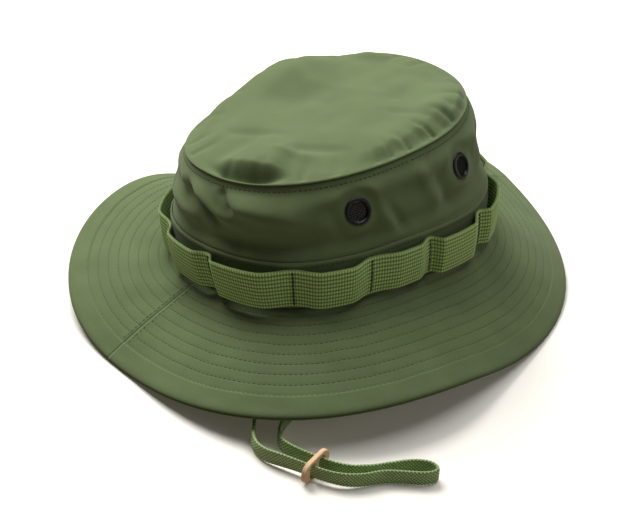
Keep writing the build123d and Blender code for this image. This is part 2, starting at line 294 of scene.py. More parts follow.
def calc(tree, operation, first, second=0.0):
    """Math node over sockets or numbers."""
    made = add(tree, "ShaderNodeMath", operation=operation)
    feed(tree, made.inputs[0], first)
    feed(tree, made.inputs[1], second)
    return made.outputs[0]


def ramp(tree, factor, low, high, start=0.0, end=1.0):
    """Blend of two colours by a factor."""
    made = add(tree, "ShaderNodeValToRGB")
    for element, colour, place in zip(made.color_ramp.elements, (low, high), (start, end)):
        element.color = (*colour, 1)
        element.position = place
    tree.links.new(factor, made.inputs["Fac"])
    return made.outputs["Color"]


def mixed(tree, factor, first, second, kind="MIX"):
    """Mix of two colours, given as sockets or tuples."""
    made = add(tree, "ShaderNodeMix", data_type="RGBA", blend_type=kind)
    feed(tree, made.inputs[0], factor)
    feed(tree, made.inputs[6], first)
    feed(tree, made.inputs[7], second)
    return made.outputs[2]


def cloth_place(tree, pitch_x, pitch_y, turn=0.0):
    """Place on the cloth, counted in threads of the given pitches in millimetres."""
    place = add(tree, "ShaderNodeUVMap", uv_map="cloth")
    turned = add(tree, "ShaderNodeMapping")
    turned.inputs["Rotation"].default_value = (0, 0, turn)
    turned.inputs["Scale"].default_value = (1 / pitch_x, 1 / pitch_y, 1)
    tree.links.new(place.outputs["UV"], turned.inputs["Vector"])
    return turned.outputs["Vector"]


def bands(tree, place, direction):
    """Rounded bands, one for each unit of place."""
    made = add(tree, "ShaderNodeTexWave", bands_direction=direction)
    made.inputs["Scale"].default_value = pi / 10
    tree.links.new(place, made.inputs["Vector"])
    return made.outputs["Fac"]


def noise(tree, scale, detail=3.0, place=None):
    """Noise over given coordinates, or over the object's own space with its scale per metre."""
    made = add(tree, "ShaderNodeTexNoise")
    made.inputs["Scale"].default_value = scale
    made.inputs["Detail"].default_value = detail
    tree.links.new(place or add(tree, "ShaderNodeTexCoord").outputs["Object"], made.inputs["Vector"])
    return made.outputs["Fac"]


def bump(tree, shader, height, strength, distance):
    """Bump on a shader, distance in metres."""
    made = add(tree, "ShaderNodeBump")
    made.inputs["Strength"].default_value = strength
    made.inputs["Distance"].default_value = distance
    tree.links.new(height, made.inputs["Height"])
    tree.links.new(made.outputs["Normal"], shader.inputs["Normal"])


def finish(shader, roughness, sheen=0.0, specular=0.25):
    """Constant finish of a shader."""
    shader.inputs["Roughness"].default_value = roughness
    shader.inputs["Sheen Weight"].default_value = sheen
    shader.inputs["Sheen Roughness"].default_value = 0.5
    shader.inputs["Specular IOR Level"].default_value = specular


def blend(tree, first, second, share, other=None):
    """Sum of two values, each weighed: the first by a share, the second by the rest or another share."""
    rest = 1 - share if other is None else other
    return calc(tree, "ADD", calc(tree, "MULTIPLY", first, share), calc(tree, "MULTIPLY", second, rest))


def cloth_material(name, colour, pitch=0.45, turn=0.0, fade=0.16):
    """Plain-weave cotton: crossing threads, uneven slubs, soft fading, and a quarter lighter where it bends
    outwards.
    """
    material, tree, shader = node_tree(name)
    place = cloth_place(tree, pitch, pitch, turn)
    weave = calc(tree, "MULTIPLY", bands(tree, place, "X"), bands(tree, place, "Y"))
    slub = noise(tree, 1.6, 2.0, cloth_place(tree, 0.5, 3.0, turn))
    cross_slub = noise(tree, 1.6, 2.0, cloth_place(tree, 3.0, 0.5, turn))
    grain = blend(tree, slub, cross_slub, 0.5)
    tone = blend(tree, noise(tree, 30.0, 4.0), grain, 0.5)
    dark = tuple(value * (1 - fade) for value in colour)
    light = tuple(value * (1 + fade) for value in colour)
    faded = ramp(tree, tone, dark, light, 0.3, 0.7)
    threads = ramp(tree, weave, (0.82, 0.82, 0.82), (1.0, 1.0, 1.0), 0.0, 0.6)
    bend = add(tree, "ShaderNodeNewGeometry").outputs["Pointiness"]
    # Lighter by up to a quarter where the surface bends outwards, at ridges, folds and edges.
    lighter_on_bends = ramp(tree, bend, (1.0, 1.0, 1.0), (1.25, 1.22, 1.2), 0.52, 0.62)
    woven = mixed(tree, 1.0, faded, threads, "MULTIPLY")
    tree.links.new(mixed(tree, 1.0, woven, lighter_on_bends, "MULTIPLY"), shader.inputs["Base Color"])
    finish(shader, 0.82, 0.12, 0.12)
    bump(tree, shader, blend(tree, weave, grain, 1.0, 0.8), 0.4, 0.00016)
    return material


def webbing_material():
    """Coarse webbing: ten ribs across its width, crossed by heavy filling threads."""
    material, tree, shader = node_tree("olive_webbing")
    place = cloth_place(tree, WEBBING_COLUMN, WEBBING_ROW)
    rib = bands(tree, place, "Y")
    pick = bands(tree, place, "X")
    weave = calc(tree, "MULTIPLY", calc(tree, "POWER", rib, 0.7), calc(tree, "POWER", pick, 0.6))
    strand = noise(tree, 1.2, 2.0, cloth_place(tree, 0.35, 2.0))
    tone = blend(tree, weave, strand, 0.75, 0.3)
    # Colour runs from dark in the grooves between ribs and filling threads to light on their crowns: painted
    # shade and painted highlight over the weave.
    colour = ramp(tree, tone, (0.095, 0.145, 0.035), (0.5, 0.7, 0.235), 0.12, 0.8)
    tree.links.new(colour, shader.inputs["Base Color"])
    finish(shader, 0.72, 0.15, 0.25)
    bump(tree, shader, blend(tree, weave, strand, 1.0, 0.3), 0.5, 0.0003)
    return material


def braid_material():
    """Nylon braid: slanting plaits that cross, with painted shade in the grooves between plaits and painted
    highlight on their crowns.
    """
    material, tree, shader = node_tree("cord_braid")
    one_way = bands(tree, cloth_place(tree, 1.5, 1.5, pi / 4), "X")
    other_way = bands(tree, cloth_place(tree, 1.5, 1.5, -pi / 4), "X")
    plait = calc(tree, "MULTIPLY", one_way, other_way)
    speck = noise(tree, 1.0, 2.0, cloth_place(tree, 0.9, 0.9))
    tone = blend(tree, plait, speck, 0.8, 0.3)
    # Colour runs from dark in the grooves between plaits to light on their crowns: painted shade and painted
    # highlight.
    colour = ramp(tree, tone, (0.105, 0.16, 0.053), (0.55, 0.74, 0.32), 0.1, 0.75)
    tree.links.new(colour, shader.inputs["Base Color"])
    finish(shader, 0.5, 0.1, 0.4)
    bump(tree, shader, plait, 0.4, 0.00012)
    return material


def grained_material(name, dark, light, roughness, scale, relief, specular=0.4):
    """Surface with a fine uneven grain: thread, leather, enamel and wire."""
    material, tree, shader = node_tree(name)
    coarse = noise(tree, scale, 5.0)
    fine = noise(tree, scale * 6, 2.0)
    tone = blend(tree, coarse, fine, 0.7, 0.3)
    tree.links.new(ramp(tree, tone, dark, light, 0.32, 0.68), shader.inputs["Base Color"])
    finish(shader, roughness, 0.0, specular)
    bump(tree, shader, tone, 0.5, relief)
    return material


WEBBING_COLUMN, WEBBING_ROW = 1.7, 2.54
CLOTH = cloth_material("olive_cloth", (0.128, 0.172, 0.072))
LINING = cloth_material("olive_cloth_underside", (0.118, 0.158, 0.066))
SWEAT = cloth_material("sweatband_twill", (0.095, 0.132, 0.052), 0.8, pi / 4)
CANVAS = cloth_material("interlining_canvas", (0.6, 0.59, 0.53), 0.8)
WEBBING = webbing_material()
BRAID = braid_material()
THREAD = grained_material("olive_thread", (0.045, 0.064, 0.025), (0.08, 0.108, 0.044), 0.6, 700.0, 0.00005)
DARK_THREAD = grained_material(
    "dark_thread", (0.022, 0.03, 0.012), (0.045, 0.06, 0.024), 0.6, 700.0, 0.00005)
LEATHER = grained_material("tan_leather", (0.6, 0.37, 0.2), (0.82, 0.57, 0.35), 0.6, 260.0, 0.00025)
ENAMEL = grained_material(
    "black_enamel", (0.006, 0.007, 0.006), (0.012, 0.013, 0.011), 0.34, 400.0, 0.00002, specular=0.3)
WIRE = grained_material(
    "vent_wire", (0.005, 0.006, 0.005), (0.014, 0.015, 0.012), 0.5, 900.0, 0.00002, specular=0.2)


def dress(piece, material, slot, *nodes):
    """Gives a piece its material and its body, and hides the CAD nodes it stands for; the slot is not used.
    """
    piece.data.materials.clear()
    piece.data.materials.append(material)
    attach(piece, "hat")
    if nodes:
        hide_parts(*nodes)
    return piece


# ================================================================ thread
STITCH_TURNS = 5


def stitches(path, normals, length, gap, radius, sink=0.0):
    """Points and faces of a row of stitches along a path that lies on cloth."""
    distance = walked(path)
    pitch = length + gap
    count = int(distance[-1] // pitch)
    begin = (distance[-1] - count * pitch + gap) / 2 + pitch * np.arange(count)
    stations = np.array([0.0, 0.16, 0.5, 0.84, 1.0])
    swell = np.array([0.25, 0.85, 1.0, 0.85, 0.25])
    lift = np.array([-1.0, 0.15, 0.55, 0.15, -1.0]) * radius - sink
    at = begin[:, None] + stations[None] * length
    spot = np.stack([np.interp(at, distance, path[:, k]) for k in range(3)], -1)
    up = np.stack([np.interp(at, distance, normals[:, k]) for k in range(3)], -1)
    up /= np.linalg.norm(up, axis=-1, keepdims=True)
    ahead = np.gradient(spot, axis=1)
    ahead /= np.linalg.norm(ahead, axis=-1, keepdims=True)
    side = np.cross(ahead, up)
    spot = spot + up * lift[None, :, None]
    turn = 2 * pi * np.arange(STITCH_TURNS) / STITCH_TURNS
    ring = side[:, :, None] * np.cos(turn)[:, None] + up[:, :, None] * np.sin(turn)[:, None]
    points = spot[:, :, None] + ring * (radius * swell)[None, :, None, None]
    one = tube_faces(len(stations), STITCH_TURNS)[:, ::-1]
    size = len(stations) * STITCH_TURNS
    return points.reshape(-1, 3), (one[None] + size * np.arange(count)[:, None, None]).reshape(-1, 4)


def thread_piece(name, rows, material, slot="thread", nodes=()):
    """One piece from several rows of stitches."""
    points, faces, start = [], [], 0
    for row_points, row_faces in rows:
        points.append(row_points)
        faces.append(row_faces + start)
        start += len(row_points)
    return dress(as_mesh(name, np.concatenate(points), np.concatenate(faces)), material, slot, *nodes)


def row_on(surface, angle, share, out, **stitch):
    """Row of stitches along a stretch of a surface given by angles and shares."""
    angle, share = np.broadcast_arrays(np.asarray(angle, float), np.asarray(share, float))
    path = surface(angle, share, out)
    beside = surface(angle, share, out + 1.0)
    return stitches(path, beside - path, **stitch)


# ================================================================ crown
# Soft folds of the crown's side: first and last angle and level, half width and rise, in mm along the cloth.
WALL_FOLDS = (
    (244.0, 66, 262.0, 58, 4.0, -3.0),
    (245.0, 56, 264.0, 50, 4.0, 2.4),
    (259.0, 67, 276.0, 52, 3.8, -4.4),
    (265.0, 70, 283.0, 56, 3.6, 4.0),
    (278.0, 72, 284.0, 62, 2.8, -2.8),
    (284.0, 66, 309.0, 59, 6.5, 4.6),
    (276.0, 44, 322.0, 44, 9.0, -3.0),
    (312.0, 70, 326.0, 50, 6.0, -1.4),
    (322.0, 58, 336.0, 40, 7.0, -1.6),
    (333.0, 66, 346.0, 40, 5.0, 1.8),
    (343.0, 56, 352.0, 36, 4.0, -1.8),
    (2.0, 74, 12.0, 44, 6.0, 1.8),
    (14.0, 60, 22.0, 36, 5.0, -1.8),
    (44.0, 70, 54.0, 42, 7.0, 2.0),
    (70.0, 44, 92.0, 60, 8.0, -2.0),
    (88.0, 70, 110.0, 46, 8.0, 2.4),
    (122.0, 44, 134.0, 66, 6.0, -2.0),
    (160.0, 70, 182.0, 44, 9.0, 2.2),
    (186.0, 64, 196.0, 40, 6.0, -2.2),
    (224.0, 44, 236.0, 68, 7.0, -2.0),
    (233.0, 68, 242.0, 44, 5.0, 1.8),
)
WALL_SPAN = 78.0


def crown_folds(angle, share):
    """How far the crown's side stands out where it folds."""
    total = 0.0
    for start, low, end, high, width, rise in WALL_FOLDS:
        along, reach = angle_gap(angle, start) * WALL_ARC, (end - start) * WALL_ARC
        total = total + ridge(along, share * WALL_SPAN, (0.0, low, reach, high, width, rise))
    right = np.exp(-((angle_gap(angle, 56.0) / 27.0) ** 2))
    total = total + SEAM_SWELL * (1 - 0.3 * right) * np.exp(-(((share - 0.87) / 0.075) ** 2))
    total = total - RIGHT_HOLLOW * right * np.exp(-(((share - 0.6) / 0.19) ** 2))
    total = total - BAND_HOLLOW * np.exp(-(((share - 0.52) / 0.09) ** 2))
    spots = wall_surface(angle, share, 0.0)
    total = total + 0.5 * spread_noise(spots, 42.0, 5) + 0.22 * spread_noise(spots, 17.0, 6)
    free = smooth(0.40, 0.54, share) * (1 - smooth(0.91, 0.995, share))
    for place in VENT_ANGLES.values():
        away = np.hypot(angle_gap(angle, place) * WALL_ARC, (share - VENT_LEVEL) * WALL_SPAN)
        free = free * smooth(9.0, 17.0, away)
    tuck = -0.6 * np.exp(-(((share * WALL_SPAN - BAND_HEIGHT - 1.0) / 3.0) ** 2))
    return total * free + tuck * smooth(0.38, 0.42, share)


def crown_side_surface(angle, share, out):
    """Crown's side with its folds."""
    return wall_surface(angle, share, out + crown_folds(angle, share))


def vent_plane(place, out):
    """Centre, level direction, upward direction and normal of a vent on the crown's side."""
    here = wall_surface(np.array(place), VENT_LEVEL, out)
    left, right = (wall_surface(np.array(place + step), VENT_LEVEL, out) for step in (-1.0, 1.0))
    below, above = (wall_surface(np.array(place), VENT_LEVEL + step, out) for step in (-0.01, 0.01))
    level, rise = right - left, above - below
    level /= np.linalg.norm(level)
    normal = np.cross(level, rise)
    normal /= np.linalg.norm(normal)
    return here, level, np.cross(normal, level), normal


def cut_round(piece, centre, normal, radius):
    """Cuts a round hole through a shell: moves the nearest points to its rim and deletes those inside."""
    middle, axis, reach = Vector(centre * MM), Vector(normal), radius * MM

    def change(mesh):
        inside = []
        for vertex in mesh.verts:
            offset = vertex.co - middle
            depth = offset.dot(axis)
            across = offset - axis * depth
            if abs(depth) > 6 * MM or across.length > reach * 1.35:
                continue
            if across.length < reach * 0.86:
                inside.append(vertex)
            elif across.length < reach:
                vertex.co += across.normalized() * (reach - across.length)
        bmesh.ops.delete(mesh, geom=inside, context="VERTS")
        edges = [edge for edge in mesh.edges if edge.is_boundary]
        rims = [edge for edge in edges if (edge.verts[0].co - middle).length < reach * 2]
        bmesh.ops.bridge_loops(mesh, edges=rims)

    reshape(piece, change)


def make_crown_side():
    """Side of the crown with its holes for the vents, and the seam that turns into the top."""
    angle = np.linspace(0, 360, 900, endpoint=False)[:, None]
    share = np.linspace(0, 1, 84)[None]
    outer = crown_side_surface(angle, share, CROWN_CLOTH)
    inner = crown_side_surface(angle, share, 0.0)
    maps = np.stack(np.broadcast_arrays(angle * WALL_ARC, share * WALL_SPAN), -1)
    piece = shell("crown_side_cloth", outer, inner, maps, True)
    for place in VENT_ANGLES.values():
        centre, _, _, normal = vent_plane(place, CROWN_CLOTH)
        cut_round(piece, centre, normal, VENT_HOLE)
    dress(piece, CLOTH, "ripstop_cloth", "crown_side")


# Small pleats where the top is eased into its seam: angle, half width in degrees and depth in mm.
GATHERS = (
    (343.0, 2.6, 0.6), (351.0, 2.0, 0.9), (3.0, 2.6, 1.5), (13.0, 3.2, 0.5), (20.5, 2.1, 1.6),
    (30.0, 3.4, 0.6), (37.5, 2.4, 1.5), (48.0, 3.0, 0.6), (58.0, 2.6, 1.0), (72.0, 3.0, 0.8),
    (96.0, 2.6, 1.2), (108.0, 2.4, 1.3), (131.0, 3.0, 1.0), (158.0, 2.6, 0.7), (183.0, 2.8, 0.8),
    (204.0, 2.2, 0.7), (226.0, 2.8, 1.0), (243.0, 2.2, 0.8), (253.0, 2.4, 1.2), (276.0, 2.6, 1.3),
    (289.0, 2.8, 1.0), (308.0, 2.4, 1.0), (322.0, 2.6, 0.8),
)


def dome(angle, share):
    """Height of the crown's top over its level surface: soft, steep at the edge, puckered and dented."""
    high = CROWN_DOME * (1 - share**2.5)
    from_far = angle_gap(angle, 173.0)
    far_left = np.exp(-((from_far / np.where(from_far < 0, 34.0, 46.0)) ** 2))
    high = high + 14.5 * far_left * smooth(0.15, 0.76, share) * (1 - smooth(0.82, 1.0, share) ** 1.3)
    far_right = np.exp(-((angle_gap(angle, 54.0) / 20.0) ** 2))
    high = high + 4.5 * far_right * smooth(0.5, 0.84, share) * (1 - smooth(0.93, 1.0, share))
    front = np.exp(-((angle_gap(angle, 284.0) / 14.0) ** 4))
    steep = smooth(0.45, 0.85, share) * (1 - smooth(0.872, 0.945, share))
    high = high + 6.2 * front * steep - 5.0 * front * np.exp(-(((share - 0.952) / 0.03) ** 2))
    right = smooth(-24, -2, angle_gap(angle, 352.0)) * (1 - smooth(48, 66, angle_gap(angle, 352.0)))
    scallop = 0.6 * np.sin(np.radians(angle) * 21) + 0.4 * np.sin(np.radians(angle) * 36 + 1)
    rim = 0.9 + 0.018 * scallop
    high = high + 3.6 * right * smooth(0.5, 0.84, share) * (1 - smooth(rim - 0.06, rim + 0.075, share))
    for place, width, depth in GATHERS:
        spread = width * (1.25 - 0.5 * smooth(0.72, 0.98, share))
        gather = np.exp(-((angle_gap(angle, place) / spread) ** 2))
        high = high - depth * gather * smooth(0.7, 0.93, share) * (1 - smooth(0.965, 1.0, share))
    bump_far = np.exp(-((angle_gap(angle, 118.0) / 7.0) ** 2) - ((share - 0.86) / 0.09) ** 2)
    return high + 3.0 * bump_far


# Shallow creases on the crown's top: two ends from its middle in mm, half width and rise.
TOP_CREASES = (
    (-62.0, -30.0, -40.0, -66.0, 4.0, 1.3),
    (-70.0, -4.0, -56.0, -48.0, 3.5, 1.5),
    (-22.0, -58.0, 6.0, -44.0, 4.0, -1.2),
    (24.0, -48.0, 46.0, -30.0, 4.0, -1.2),
    (16.0, -60.0, 40.0, -46.0, 4.0, 1.0),
    (-30.0, 10.0, 14.0, 34.0, 6.0, 0.8),
    (30.0, 20.0, 58.0, 34.0, 4.0, -1.0),
    (-20.0, 60.0, 10.0, 76.0, 6.0, 0.6),
    (-54.0, 34.0, -30.0, 62.0, 6.0, -0.4),
)


def crown_top_surface(angle, share, up):
    """Crown's top panel with its creases."""
    points = top_surface(angle, share, 0.0)
    x, y = points[..., 0] - SEAM_X, points[..., 1] - SEAM_Y
    level = seam_height(angle, share) + dome(angle, share) + up
    soft = 1 - smooth(0.9, 1.0, share)
    creases = sum(ridge(x, y, crease) for crease in TOP_CREASES)
    flat = np.stack([x, y, 0 * x], -1)
    waves = 0.55 * spread_noise(flat, 48.0, 11) + 0.28 * spread_noise(flat, 20.0, 12)
    points[..., 2] = level + (creases + waves) * soft
    return points


def make_crown_top():
    """Top panel: a dome whose edge turns down into the seam, and the raised seam itself."""
    angle = np.linspace(0, 360, 840, endpoint=False)[:, None]
    share = 1 - (1 - np.linspace(0, 1, 88)[None]) ** 1.6
    outer = crown_top_surface(angle, share, CROWN_CLOTH)
    inner = crown_top_surface(angle, share, 0.0)
    piece = shell("crown_top_cloth", outer, inner, outer[..., :2].copy(), True)
    reshape(piece, lambda mesh: bmesh.ops.remove_doubles(mesh, verts=mesh.verts, dist=1e-7))
    dress(piece, CLOTH, "ripstop_cloth", "crown_top")
    round_seam = np.linspace(0, 360, 1440, endpoint=False)
    path = crown_top_surface(round_seam, np.full(1440, 1.0), 0.35)
    outward = wall_surface(round_seam, 1.0, 1.0) - wall_surface(round_seam, 1.0, 0.0)
    ridge_piece = piping("crown_seam_ridge", path + outward * 0.1, 0.55)
    dress(ridge_piece, CLOTH, "ripstop_cloth")


def piping(name, path, radius, turns=10):
    """Closed round bead along a closed path."""
    ahead = np.roll(path, -1, 0) - np.roll(path, 1, 0)
    ahead /= np.linalg.norm(ahead, axis=1, keepdims=True)
    up = np.array([0, 0, 1.0]) - ahead * ahead[:, 2:]
    up /= np.linalg.norm(up, axis=1, keepdims=True)
    side = np.cross(ahead, up)
    turn = 2 * pi * np.arange(turns + 1) / turns
    ring = side[:, None] * np.cos(turn)[:, None] + up[:, None] * np.sin(turn)[:, None]
    points = path[:, None] + ring * radius
    faces = grid_faces(len(path), turns + 1, True)
    faces = np.where(faces % (turns + 1) == turns, faces - turns, faces)
    grid = points.reshape(len(path), turns + 1, 3)
    along = walked(path)[:, None]
    maps = np.stack(np.broadcast_arrays(along, radius * turn[None]), -1)
    return as_mesh(name, grid, faces, maps)


def make_ring(name, material, slot, surface, top, inner, outer, node, fold=0.0):
    """Band of cloth that follows the crown's side from the brim to a height, its top edge folded over."""
    angle = np.linspace(0, 360, 720, endpoint=False)[:, None]
    height = top * (1 - (1 - np.linspace(0, 1, 30)[None]) ** 1.5)
    share = wall_share(angle, height)
    edge = smooth(top - 1.6, top, height)
    stitch = np.exp(-(((height - (top - 2.6)) / 0.6) ** 2))
    bead = np.exp(-(((height - top + 0.9) / 0.9) ** 2))
    swell = fold * (smooth(top - 6.0, top - 4.5, height) * 0.4 + bead * 0.5)
    thickness = (outer - inner) * (1 - 0.7 * edge**3)
    outside = surface(angle, share, inner + thickness + swell - 0.3 * fold * stitch)
    inside = surface(angle, share, inner)
    maps = np.stack(np.broadcast_arrays(angle * BAND_ARC, height), -1)
    piece = shell(name, outside, inside, maps, True)
    dress(piece, material, slot, node)


# ================================================================ brim
BRIM_ROWS = [HEM_WIDTH + 6.1 * index for index in range(9)]


def brim_relief(angle, share, side_seams):
    """Rise of the brim's cloth: quilted between its rows, raised at its turned edge, dipped at its seams."""
    row = (1 - share) * BRIM_WIDTH
    hem = HEM_WIDTH
    puff = 0.55 * smooth(hem, hem - 0.9, row) * smooth(0.0, 3.0, row) ** 0.5
    groove = sum(0.22 * np.exp(-(((row - at) / 0.7) ** 2)) for at in BRIM_ROWS)
    seam = 0.0
    for place in side_seams:
        across = np.abs(angle_gap(angle, place)) * BRIM_ARC * (0.75 + 0.4 * share)
        seam = seam + 0.2 * (1 - smooth(3.6, 5.4, across)) - 0.22 * np.exp(-((across / 0.5) ** 2))
    spots = brim_surface(angle, share, 0.0)
    soft = 0.22 * spread_noise(spots, 26.0, 21) * (1 - smooth(0.9, 1.0, share))
    return puff - groove + seam * smooth(hem, hem + 1.0, row) + soft


def brim_upper_surface(angle, share, up):
    """Upper face of the brim."""
    return brim_surface(angle, share, BRIM_STACK + up + brim_relief(angle, share, (FRONT_SEAM, BACK_SEAM)))


def brim_lower_surface(angle, share, up):
    """Lower face of the brim, quilted the other way."""
    relief = brim_relief(angle, share, (FRONT_SEAM, BACK_SEAM))
    return brim_surface(angle, share, up - 0.6 * np.minimum(relief, 0.0))


def make_brim_half(side, start, end):
    """Upper ply and lower ply of one half of the brim."""
    angle = np.linspace(start, end, 330)[:, None]
    share = np.linspace(0, 1, 118)[None]
    maps = np.stack(np.broadcast_arrays(angle * BRIM_ARC, share * BRIM_WIDTH), -1)
    edge = smooth(0.985, 1.0, share) ** 2
    upper = brim_upper_surface(angle, share, -0.5 * edge)
    middle = brim_surface(angle, share, BRIM_STACK - PLY + 0.35 * edge)
    piece = shell(f"brim_upper_cloth_{side}", upper, middle, maps, False)
    dress(piece, CLOTH, "ripstop_cloth", f"brim_upper_{side}")
    top = brim_surface(angle, share, PLY)
    under = brim_lower_surface(angle, share, 0.35 * edge)
    piece = shell(f"brim_lower_cloth_{side}", top, under, maps, False)
    dress(piece, LINING, "ripstop_cloth", f"brim_lower_{side}")


def brim_seam_rows(surface, out, place):
    """Two rows of stitches beside a radial seam."""
    share = np.linspace(0.02, 1 - HEM_WIDTH / BRIM_WIDTH, 160)
    for shift in (-1.15, 1.15):
        angle = place + shift * (1.15 - 0.35 * share)
        yield row_on(surface, angle, share, out, length=2.3, gap=0.7, radius=0.24)


def make_brim_thread():
    """Rows of stitches on both faces of the brim."""
    turn = np.linspace(FRONT_SEAM, FRONT_SEAM + 360, 1600)
    for name, surface, out, way in (
        ("brim_stitches_upper", brim_upper_surface, 0.0, 1),
        ("brim_stitches_lower", brim_lower_surface, -0.02, -1),
    ):
        rows = []
        for at in BRIM_ROWS:
            share = np.full(1600, 1 - at / BRIM_WIDTH)
            path, beside = surface(turn, share, out), surface(turn, share, out + way)
            rows.append(stitches(path, beside - path, 2.3, 0.75, 0.24))
        if way == 1:
            for place in (FRONT_SEAM, BACK_SEAM):
                rows += brim_seam_rows(surface, out, place)
        thread_piece(name, rows, THREAD)


def make_crown_thread():
    """Topstitching under the crown's seam and along the top of the outer band."""
    turn = np.linspace(0, 360, 1600)
    rows = [row_on(crown_side_surface, turn, 0.962, CROWN_CLOTH, length=2.2, gap=0.8, radius=0.26)]
    thread_piece("crown_topstitch", rows, DARK_THREAD)
    share = wall_share(turn, BAND_HEIGHT - 2.6)
    rows = [row_on(wall_surface, turn, share, 1.92, length=2.2, gap=0.8, radius=0.24)]
    thread_piece("outer_band_topstitch", rows, DARK_THREAD)
    share = wall_share(turn, SWEATBAND_HEIGHT - 3.0)
    path, beside = wall_surface(turn, share, -1.26), wall_surface(turn, share, -2.26)
    thread_piece("sweatband_topstitch", [stitches(path, beside - path, 2.4, 0.8, 0.24)], THREAD)


# ================================================================ webbing
# Each loop from its first tack: how far it stands out in mm, and its shares that bend out and back in.
LOOP_SHAPES = (
    (5.8, 0.15, 0.34), (5.0, 0.32, 0.32), (4.0, 0.42, 0.26), (6.2, 0.14, 0.28),
    (5.4, 0.14, 0.3), (5.4, 0.2, 0.3), (6.0, 0.3, 0.24), (5.0, 0.24, 0.3),
    (5.6, 0.3, 0.2), (4.8, 0.34, 0.3), (5.8, 0.2, 0.32), (4.4, 0.24, 0.22),
)
WEBBING_BASE = CROWN_CLOTH + 0.9 + 0.45


def tack_angles():
    """Angles of the webbing's tacks: near enough at equal distances along the head line."""
    fine = FIRST_TACK + np.linspace(0, 360, 1441)
    x, y, z = head_line(fine)[:3]
    distance = walked(np.stack([x, y, z], -1))
    return np.interp(np.arange(LOOPS + 1) / LOOPS * distance[-1], distance, fine) + TACK_SHIFTS


def loop_outset(share, rise, bend_out, bend_in):
    """How far a loop stands off the band: a short bend beside each tack, and nearly flat between."""
    start = smooth(0.015, 0.015 + bend_out, share)
    end = 1 - smooth(0.985 - bend_in, 0.985, share)
    return rise * start * end * (0.94 + 0.06 * np.sin(pi * share))


def webbing_line():
    """Angle, outset and distance along the whole tape, at three places in each filling thread."""
    tacks = tack_angles()
    share = np.arange(200) / 200
    angle = np.concatenate([start + (end - start) * share for start, end in zip(tacks, tacks[1:])])
    outset = np.concatenate([loop_outset(share, *shape) for shape in LOOP_SHAPES])
    middle = WEBBING_LIFT + WEBBING_WIDTH / 2
    distance = walked(webbing_surface(angle, outset, middle, WEBBING_CLOTH))
    count = 3 * round(distance[-1] / WEBBING_COLUMN)
    place = distance[-1] * np.arange(count) / count
    thread = np.arange(count) / 3
    found = (np.interp(place, distance, angle), np.interp(place, distance, outset), thread * WEBBING_COLUMN)
    return [values[:, None] for values in found]


def webbing_surface(angle, outset, height, out):
    """Point on the tape, whose upper edge leans a little further out than its lower one."""
    lean = (height - WEBBING_LIFT - WEBBING_WIDTH / 2) / WEBBING_WIDTH * 0.16 * outset
    return wall_surface(angle, wall_share(angle, height), WEBBING_BASE + outset * 0.97 + lean + out)


def make_webbing():
    """Ribbed tape tacked down into loops, its ribs and filling threads raised."""
    angle, outset, along = webbing_line()
    across = np.linspace(0, 1, 41)[None]
    height = WEBBING_LIFT + WEBBING_WIDTH * across
    rib = np.abs(np.sin(pi * across * WEBBING_WIDTH / WEBBING_ROW))
    pick = np.abs(np.sin(pi * along / WEBBING_COLUMN))
    edge = smooth(0.0, 0.03, across) * (1 - smooth(0.97, 1.0, across))
    relief = 0.42 * np.sqrt(rib) * (0.55 + 0.45 * pick) * edge - 0.25 * (1 - edge)
    outer = webbing_surface(angle, outset, height, WEBBING_CLOTH - 0.3 + relief)
    inner = webbing_surface(angle, outset, height, 0.15 - relief * 0.5)
    maps = np.stack(np.broadcast_arrays(along, across * WEBBING_WIDTH), -1)
    piece = shell("webbing_tape", outer, inner, maps, True)
    dress(piece, WEBBING, "webbing", "foliage_webbing")


def make_webbing_tacks():
    """Zigzag bar tack across the tape between every two loops."""
    rows = []
    level = np.linspace(WEBBING_LIFT + 1.2, WEBBING_LIFT + WEBBING_WIDTH - 1.2, 400)
    for place in tack_angles()[:-1]:
        swing = 0.42 * (2 / pi) * np.arcsin(np.sin(2 * pi * np.arange(400) / 400 * 22))
        angle = place + swing
        path = webbing_surface(angle, 0.0, level, WEBBING_CLOTH + 0.05)
        beside = webbing_surface(angle, 0.0, level, WEBBING_CLOTH + 1.05)
        rows.append(stitches(path, beside - path, 1.9, 0.1, 0.3))
    thread_piece("webbing_tack_thread", rows, DARK_THREAD, "thread", ("webbing_bar_tacks",))


# ================================================================ vents
def lathe(name, place, profile, turns=64):
    """Turned ring on a vent's axis, from a closed profile of (radius, height) in millimetres."""
    centre, level, rise, normal = vent_plane(place, CROWN_CLOTH)
    turn = 2 * pi * np.arange(turns) / turns
    radius, height = np.array(profile).T
    ring = level * np.cos(turn)[:, None, None] + rise * np.sin(turn)[:, None, None]
    points = centre + ring * radius[None, :, None] + normal * height[None, :, None]
    return as_mesh(name, points, tube_faces(turns, len(profile), True))


def eyelet_profile():
    """Section of an eyelet: a rolled flange outside, and a thin barrel through the cloth."""
    outer, bore = 8.2, 5.8
    steps = np.linspace(0, pi, 13)
    roll = [(outer - 1.2 + 1.2 * cos(t), 0.1 + 0.85 * sin(t)) for t in steps[:7]]
    lip = [(bore + 0.7 - 0.7 * cos(t - pi / 2), 0.45 + 0.5 * sin(t)) for t in steps[6:]]
    barrel = [(bore, 0.2), (bore, -2.8), (bore + 0.5, -2.8), (bore + 0.5, 0.05)]
    return [(outer - 0.1, 0.05)] + roll + lip + barrel


